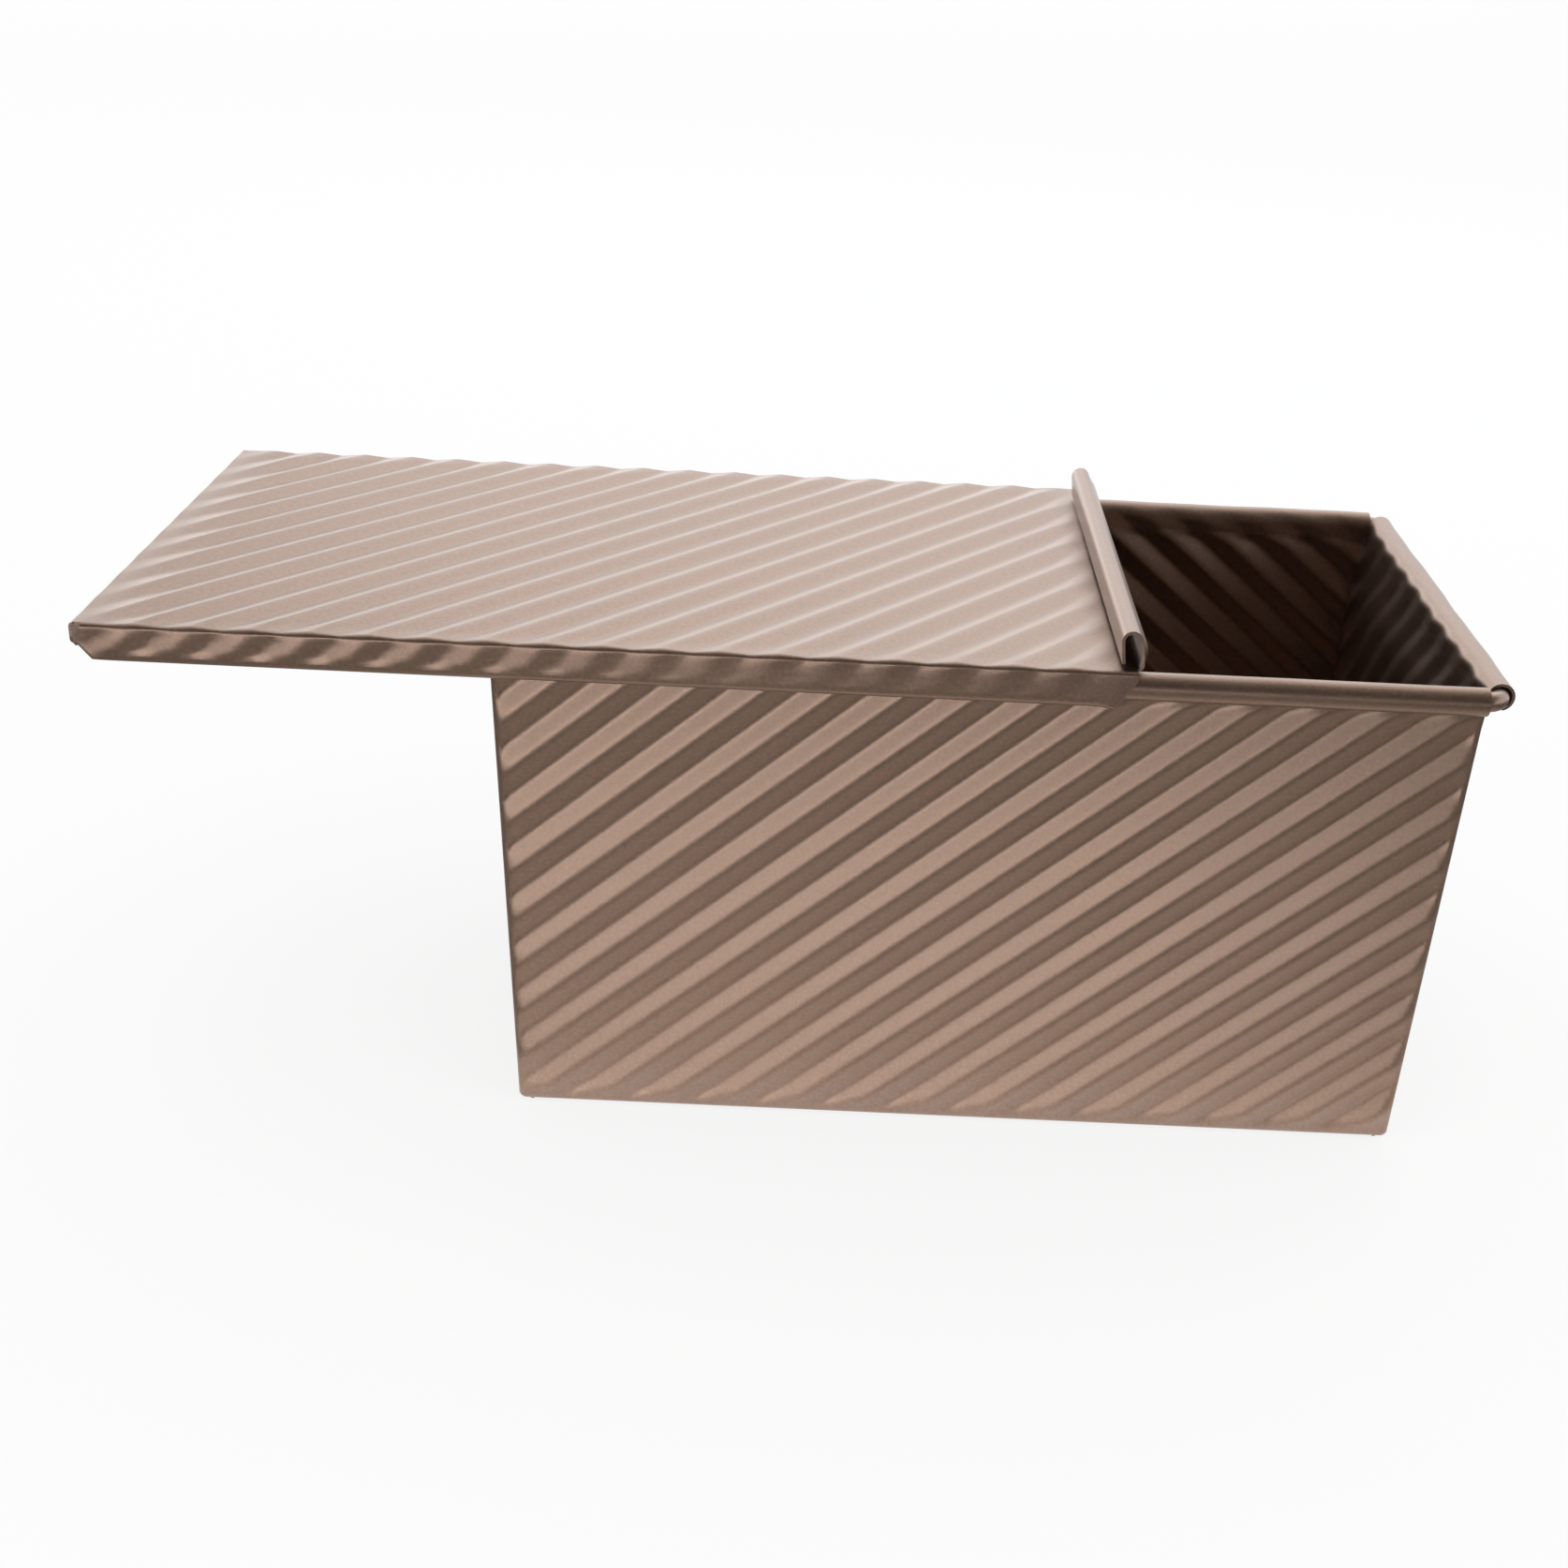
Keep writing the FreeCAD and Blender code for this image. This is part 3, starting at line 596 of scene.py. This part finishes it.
def lid_rail(name, node, side):
    """Down-turned long edge with cut ends, and its lip hooked under the roll."""
    hook = 1.6 * MM
    lip_end = 59.5 * MM
    fold_turn = 92
    left_set_in = 1.2 * MM
    left_cut, left_cut_rise, left_cut_steps = 3.0 * MM, 3.4 * MM, 6
    right_cut, right_cut_rise, right_cut_steps = 4.2 * MM, 6.2 * MM, 7
    slow_cut, slow_cut_rise = (1 * MM, 9 * MM), 0.9 * MM
    left_lip_run = (1.5 * MM, 9 * MM)
    right_lip_run = (right_cut - 1.5 * MM, right_cut + 3 * MM)
    least_lip_share = 0.12
    corner_round, corner_drop, corner_run = 1.2 * MM, (0.2 * MM, 2.6 * MM), 4 * MM
    right_relief, left_added_relief = 0.12, 0.6
    relief_run = (60 * MM, 170 * MM)
    fold_fade = (0.5 * MM, 3 * MM)
    foot_fade = 1.2 * MM
    lip = hook + SHEET / 2
    drop = LID_LEVEL - LID_BEND - (FLANGE_FOOT + lip)
    out, height, run = bend_line(
        (FOLD_LINE, LID_LEVEL), 0.0,
        [bend(LID_BEND, -fold_turn), straight(drop), bend(hook, fold_turn - 180),
         straight(LID_HALF_WIDTH - SHEET / 2 - hook - lip_end)],
    )
    fold_rows = math.ceil(math.radians(fold_turn) / FOLD_STEP)
    flange_rows = fold_rows + math.ceil(drop / CELL)
    left_end = LID_LEFT + left_set_in
    stations = np.concatenate([
        np.linspace(left_end, left_end + left_cut, left_cut_steps + 1)[:-1],
        spaced(left_end + left_cut, LID_RIGHT - right_cut),
        np.linspace(LID_RIGHT - right_cut, LID_RIGHT, right_cut_steps + 1)[1:],
    ])
    left_rise = left_cut_rise * np.clip(1 - (stations - left_end) / left_cut, 0, 1)
    right_rise = right_cut_rise * np.clip(1 - (LID_RIGHT - stations) / right_cut, 0, 1)
    slow_rise = slow_cut_rise * (1 - fade(stations - left_end, *slow_cut))
    left_lip = fade(stations - left_end, *left_lip_run)
    right_lip = fade(LID_RIGHT - stations, *right_lip_run)
    lip_share = least_lip_share + (1 - least_lip_share) * np.minimum(left_lip, right_lip)
    flange_end = FLANGE_FOOT + left_rise + right_rise + slow_rise + lip * lip_share
    top = height[fold_rows]
    foot = height[flange_rows]
    row = np.arange(run.size)[:, None]
    on_flange = top + (flange_end - top)[None, :] * ((top - height) / (top - foot))[:, None]
    on_lip = flange_end[None, :] + (height - foot)[:, None] * lip_share[None, :]
    below_top = np.where(row <= flange_rows, on_flange, on_lip)
    z = np.where(row <= fold_rows, height[:, None], below_top)
    tucked = out[flange_rows] + (out - out[flange_rows])[:, None] * lip_share[None, :]
    plain_y = np.where(row <= flange_rows, out[:, None], tucked)
    rounding = corner_round * (1 - fade(LID_LEVEL - z, *corner_drop))
    x = stations[None, :] + rounding * (1 - fade(stations - left_end, 0, corner_run))[None, :]
    unfolded = side * (FOLD_LINE + run[:, None])
    foot_distance = run[flange_rows] - run[:, None]
    flange_relief = right_relief + left_added_relief * fade(LID_RIGHT - x, *relief_run)
    below_fold = fade(run, *fold_fade)[:, None]
    at_fold = EDGE_RELIEF * lid_length_relief(x)
    on_drop = flange_relief * lid_length_relief(x, RAIL_STOP_FADE)
    relief = (at_fold + (on_drop - at_fold) * below_fold) * fade(foot_distance, 0, foot_fade)
    points = np.stack([x, np.broadcast_to(side * plain_y, x.shape), z], axis=2)
    sheet_piece(name, node, "lid", points, lid_across(x, unfolded), relief, flip=side < 0)


def lid_stop():
    """Left end of the lid, turned down with its corners cut."""
    cut = 2.0 * MM
    tuck, tuck_height = bend(4 * MM, -20), 1.4 * MM
    middle_relief = 0.4
    fold_fade = (1 * MM, 3 * MM)
    foot_fade = 2.5 * MM
    side_fade = 4 * MM
    drop = straight(LID_LEVEL - LID_BEND - stop_low.z - tuck_height)
    out, height, run = bend_line((0.0, LID_LEVEL), 0.0, [bend(LID_BEND, -90), drop, tuck])
    half_run = LID_HALF_WIDTH - SHEET / 2
    y = spaced(-half_run, half_run)
    narrow = half_run - cut * fade(height, stop_low.z + cut, stop_low.z)
    spread = (narrow / half_run)[:, None] * y[None, :]
    points = np.stack([
        np.broadcast_to((LID_LEFT + LID_OUTER_BEND - out)[:, None], spread.shape),
        spread,
        np.broadcast_to(height[:, None], spread.shape),
    ], axis=2)
    across = lid_across(LID_LEFT + LID_OUTER_BEND - run[:, None], spread)
    between = fade(run, *fold_fade) * fade(run[-1] - run, 0, foot_fade)
    down = STOP_RELIEF + middle_relief * between
    relief = down[:, None] * fade(half_run - np.abs(spread), 0, side_fade)
    sheet_piece("lid_stop", "lid_end_stop", "lid", points, across, relief)


def lid_grip():
    """Right end of the lid bent up and rolled back into an open finger curl."""
    fold = bend(1.0 * MM, 92)
    upright = bend(26 * MM, 12)
    curl = bend(1.8 * MM, 172)
    tail = straight(4.6 * MM)
    front_set_in, back_set_in = 0.8 * MM, 7.5 * MM
    belly_depth, belly_height, belly_run = 1.1 * MM, 6.4 * MM, 7.5 * MM
    end_fade = 3.5 * MM
    out, height, run = bend_line((LID_RIGHT, LID_LEVEL), 0.0, [fold, upright, curl, tail])
    front_end = grip_low.y + front_set_in
    back_end = grip_high.y - back_set_in
    y = spaced(front_end, back_end)
    end_distance = np.minimum(y - front_end, back_end - y)
    wall_rise = np.clip((height - LID_LEVEL) / belly_height, 0, 1)
    belly = belly_depth * np.sin(math.pi * wall_rise) * (run < belly_run)
    x = out[:, None] + belly[:, None] * fade(end_distance, 0, end_fade)[None, :]
    points = np.stack([
        x,
        np.broadcast_to(y[None, :], x.shape),
        np.broadcast_to(height[:, None], x.shape),
    ], axis=2)
    sheet_piece("lid_curl", "lid_grip", "lid", points, flip=True)


def speckle_group():
    """Fine metallic speckle of the coating: a brightness share, a roughness and a grain height."""
    group = bpy.data.node_groups.new("coat_speckle", "ShaderNodeTree")
    group.interface.new_socket("Place", in_out="INPUT", socket_type="NodeSocketVector")
    group.interface.new_socket("Grains per Metre", in_out="INPUT", socket_type="NodeSocketFloat")
    for label in ("Shade", "Roughness", "Grain"):
        group.interface.new_socket(label, in_out="OUTPUT", socket_type="NodeSocketFloat")
    given = group.nodes.new("NodeGroupInput")
    out = group.nodes.new("NodeGroupOutput")
    flakes = group.nodes.new("ShaderNodeTexNoise")
    flakes.inputs["Detail"].default_value = 2.0
    clouds = group.nodes.new("ShaderNodeTexNoise")
    clouds.inputs["Scale"].default_value = 30.0
    clouds.inputs["Detail"].default_value = 3.0
    feed(group, flakes.inputs["Vector"], given.outputs["Place"])
    feed(group, flakes.inputs["Scale"], given.outputs["Grains per Metre"])
    feed(group, clouds.inputs["Vector"], given.outputs["Place"])
    flake = flakes.outputs["Fac"]
    cloud = clouds.outputs["Fac"]
    for label, flake_share, cloud_share in (("Shade", 0.7, 0.3), ("Roughness", 0.6, 0.4)):
        fine = maths(group, "MULTIPLY", flake, flake_share)
        broad = maths(group, "MULTIPLY", cloud, cloud_share)
        feed(group, out.inputs[label], maths(group, "ADD", fine, broad))
    feed(group, out.inputs["Grain"], flake)
    return group


def coat_material(name, dull, bright, satin, grain_strength):
    """Satin champagne metal coating with fine speckle."""
    satin_spread = 0.26
    dull_end, bright_start = 0.3, 0.7
    material = bpy.data.materials.new(name)
    material.use_nodes = True
    tree = material.node_tree
    shader = tree.nodes["Principled BSDF"]
    shader.inputs["Metallic"].default_value = 1.0
    shader.inputs["Coat Weight"].default_value = 1.0
    shader.inputs["Coat Roughness"].default_value = 0.4
    shader.inputs["Coat IOR"].default_value = 1.75
    place = tree.nodes.new("ShaderNodeTexCoord")
    speckle = tree.nodes.new("ShaderNodeGroup")
    speckle.node_tree = SPECKLE
    speckle.inputs["Grains per Metre"].default_value = 1300.0
    feed(tree, speckle.inputs["Place"], place.outputs["Object"])
    tint = tree.nodes.new("ShaderNodeValToRGB")
    tint.color_ramp.elements[0].position = dull_end
    tint.color_ramp.elements[0].color = (*dull, 1)
    tint.color_ramp.elements[1].position = bright_start
    tint.color_ramp.elements[1].color = (*bright, 1)
    feed(tree, tint.inputs["Fac"], speckle.outputs["Shade"])
    feed(tree, shader.inputs["Base Color"], tint.outputs["Color"])
    satin_range = maths(
        tree, "MULTIPLY_ADD", speckle.outputs["Roughness"], satin_spread, satin
    )
    feed(tree, shader.inputs["Roughness"], satin_range)
    grain = tree.nodes.new("ShaderNodeBump")
    grain.inputs["Strength"].default_value = grain_strength
    grain.inputs["Distance"].default_value = 0.05 * MM
    feed(tree, grain.inputs["Height"], speckle.outputs["Grain"])
    feed(tree, shader.inputs["Normal"], grain.outputs["Normal"])
    return material


SPECKLE = speckle_group()
SHEET_COAT = coat_material(
    "champagne_sheet_coat", dull=(0.255, 0.154, 0.104), bright=(0.375, 0.231, 0.160),
    satin=0.27, grain_strength=0.35,
)
WIRE_COAT = coat_material(
    "champagne_wire_coat", dull=(0.30, 0.19, 0.135), bright=(0.38, 0.245, 0.18),
    satin=0.20, grain_strength=0.2,
)
RIB_PRESS = rib_press_tree()
HOOP = hoop_tree()

base_sheet()
long_wall("pan_front_wall", "front_wall", 0)
long_wall("pan_back_wall", "back_wall", 180)
end_wall("pan_right_end", "right_end_wall", 90)
end_wall("pan_left_end", "left_end_wall", -90)
corner_flap("flap_right_front", "right_front_flap", 0, 1)
corner_flap("flap_left_front", "left_front_flap", 0, -1)
corner_flap("flap_left_back", "left_back_flap", 180, 1)
corner_flap("flap_right_back", "right_back_flap", 180, -1)
rolled_rim("roll_front", "rim_roll_front", 0, LONG_NECK, FRONT_ROLL_RUN, LONG_WRAP)
rolled_rim("roll_back", "rim_roll_back", 180, LONG_NECK, BACK_ROLL_RUN, LONG_WRAP)
rolled_rim("roll_right", "rim_roll_right", 90, END_NECK, END_ROLL_RUN, END_WRAP)
rolled_rim("roll_left", "rim_roll_left", -90, END_NECK, END_ROLL_RUN, END_WRAP)
wire_hoop()
lid_sheet()
lid_rail("lid_front_flange", "lid_front_rail", -1)
lid_rail("lid_back_flange", "lid_back_rail", 1)
lid_stop()
lid_grip()


def plain_material(name, shade):
    """Matt surface of one grey, for the studio alone."""
    material = bpy.data.materials.new(name)
    material.use_nodes = True
    shader = material.node_tree.nodes["Principled BSDF"]
    shader.inputs["Base Color"].default_value = (shade, shade, shade, 1)
    shader.inputs["Roughness"].default_value = 1.0
    shader.inputs["Specular IOR Level"].default_value = 0.0
    return material


def card_material():
    """Card that keeps the grey painted on its corners under any light."""
    material = plain_material("studio_card", 0.0)
    tree = material.node_tree
    painted = tree.nodes.new("ShaderNodeAttribute")
    painted.attribute_name = "grey"
    shader = tree.nodes["Principled BSDF"]
    feed(tree, shader.inputs["Emission Color"], painted.outputs["Color"])
    shader.inputs["Emission Strength"].default_value = 1.0
    return material


def seen_rays(tree):
    """1 for rays that look at the studio itself: the camera's, mirrored and see-through ones."""
    path = tree.nodes.new("ShaderNodeLightPath")
    seen = maths(tree, "MAXIMUM", path.outputs["Is Camera Ray"], path.outputs["Is Glossy Ray"])
    return maths(tree, "MAXIMUM", seen, path.outputs["Is Transmission Ray"])


def floor_material():
    """Pale matt floor, lifted towards white where it is looked at, with the soft shadow kept."""
    lift_share = 0.82
    material = plain_material("pale_floor", 0.95)
    tree = material.node_tree
    lift = tree.nodes.new("ShaderNodeEmission")
    lift.inputs["Color"].default_value = (1, 1, 1, 1)
    lift.inputs["Strength"].default_value = 1.0
    mixed = tree.nodes.new("ShaderNodeMixShader")
    feed(tree, mixed.inputs[0], maths(tree, "MULTIPLY", seen_rays(tree), lift_share))
    feed(tree, mixed.inputs[1], tree.nodes["Principled BSDF"].outputs["BSDF"])
    feed(tree, mixed.inputs[2], lift.outputs["Emission"])
    feed(tree, tree.nodes["Material Output"].inputs["Surface"], mixed.outputs["Shader"])
    return material


def stage_sheet(name, corners, faces, material):
    """Flat studio surface."""
    mesh = bpy.data.meshes.new(name)
    mesh.from_pydata(corners, [], faces)
    mesh.materials.append(material)
    made = new_object(name, mesh)
    return made


def rectangle(left, right, front, back, level):
    return [(left, front, level), (right, front, level), (right, back, level), (left, back, level)]


def set_world():
    """White studio: white to the camera and in reflections, softer as light."""
    world = bpy.data.worlds.new("white_studio")
    bpy.context.scene.world = world
    world.use_nodes = True
    tree = world.node_tree
    back = tree.nodes["Background"]
    back.inputs["Color"].default_value = (1, 1, 1, 1)
    soft_light = 0.92
    strength = maths(tree, "MULTIPLY_ADD", seen_rays(tree), 1.0 - soft_light, soft_light)
    feed(tree, back.inputs["Strength"], strength)


def lamp(name, place, aim, width, height, power, tint=(1, 1, 1)):
    """Soft lamp panel aimed at a spot."""
    data = bpy.data.lights.new(name, "AREA")
    data.shape = "RECTANGLE"
    data.size = width
    data.size_y = height
    data.energy = power
    data.color = tint
    made = bpy.data.objects.new(name, data)
    made.location = place
    made.rotation_euler = (Vector(aim) - Vector(place)).to_track_quat("-Z", "Y").to_euler()
    made.visible_camera = False
    bpy.context.scene.collection.objects.link(made)


def paint_corners(card, greys):
    """Paints a card's corners, with an even run of grey between them."""
    paint = card.data.attributes.new("grey", "FLOAT_COLOR", "POINT")
    warm = np.array([1.0, 0.93, 0.86, 1.0])
    paint.data.foreach_set("color", (np.array(greys)[:, None] * warm).ravel())


def mirrored_only(card):
    """Leaves a card to reflections: the camera and the soft light pass through it."""
    card.visible_camera = False
    card.visible_diffuse = False
    card.visible_shadow = False


def set_stage():
    """Pale floor, white world, lamp panels, and dark cards that only the metal mirrors."""
    floor_reach = 8
    back_reach = 0.2
    ring_level = 0.4 * MM
    floor = rectangle(-floor_reach, floor_reach, -floor_reach, floor_reach, 0)
    stage_sheet("studio_floor", floor, [(0, 1, 2, 3)], floor_material())
    card = card_material()
    corners = []
    greys = []
    # Each ring's reach from the pan, its left edge and its grey.
    grades = (
        (0.006, -0.100, 0.95),
        (0.015, -0.109, 0.74),
        (0.040, -0.115, 0.50),
        (0.100, -0.125, 0.34),
        (0.200, -0.340, 0.16),
        (0.600, -0.800, 0.10),
        (1.200, -1.300, 0.20),
    )
    for reach, left, grey in grades:
        back = HALF_WIDTH + min(reach, back_reach)
        corners += rectangle(left, HALF_LENGTH + reach, -HALF_WIDTH - reach, back, ring_level)
        greys += [grey] * 4
    ring = [(row + side, row + (side + 1) % 4, row + (side + 1) % 4 + 4, row + side + 4)
            for row in range(0, len(corners) - 4, 4) for side in range(4)]
    surround = stage_sheet("dark_surround", corners, ring, card)
    paint_corners(surround, greys)
    mirrored_only(surround)
    side = 1.2
    bends = [
        (-side, -1.5, 0.14), (side, -1.5, 0.14),
        (side, -0.75, 0.85), (-side, -0.75, 0.85),
        (side, 0.1, 1.15), (-side, 0.1, 1.15),
    ]
    hood = stage_sheet("dark_hood", bends, [(0, 1, 2, 3), (3, 2, 4, 5)], card)
    paint_corners(hood, [0.05, 0.05, 0.10, 0.10, 0.42, 0.42])
    mirrored_only(hood)
    set_world()
    tin = (0.0, 0.0, 0.1)
    cool = (0.88, 0.95, 1.0)
    lamp("front_panel", (-0.8, -1.5, 0.065), tin, 1.7, 0.12, power=0.75)
    lamp("floor_strip", (-0.43, -0.75, 0.018), (-0.43, 0.0, 0.018), 0.85, 0.03, power=1.05)
    lamp("back_panel", (0.28, 1.05, 0.95), tin, 1.4, 0.7, power=2.1, tint=cool)
    lamp("back_low_panel", (-1.5, 4.0, 0.55), tin, 4.5, 0.9, power=14.0)


def set_camera():
    """Camera at the photo's viewing angle."""
    yaw = math.radians(0.431)
    pitch = math.radians(24.401)
    roll = math.radians(2.830)
    place = Vector((-31.10, -449.28, 260.47)) * MM
    picture_width = 1674
    focal_width = 2258.61
    optical_column = 900
    ahead = Vector((
        math.sin(yaw) * math.cos(pitch), math.cos(yaw) * math.cos(pitch), -math.sin(pitch)
    ))
    level_right = Vector((math.cos(yaw), -math.sin(yaw), 0))
    level_up = level_right.cross(ahead)
    right = math.cos(roll) * level_right + math.sin(roll) * level_up
    up = math.cos(roll) * level_up - math.sin(roll) * level_right
    data = bpy.data.cameras.new("photo_camera")
    data.sensor_width = 36
    data.lens = data.sensor_width * focal_width / picture_width
    data.shift_x = 0.5 - optical_column / picture_width
    data.clip_start = 0.01
    data.clip_end = 50
    made = bpy.data.objects.new("photo_camera", data)
    turn = Matrix((right, up, -ahead)).transposed().to_4x4()
    made.matrix_world = Matrix.Translation(place) @ turn
    bpy.context.scene.collection.objects.link(made)
    bpy.context.scene.camera = made


set_stage()
set_camera()
bpy.context.scene.view_settings.view_transform = "Standard"
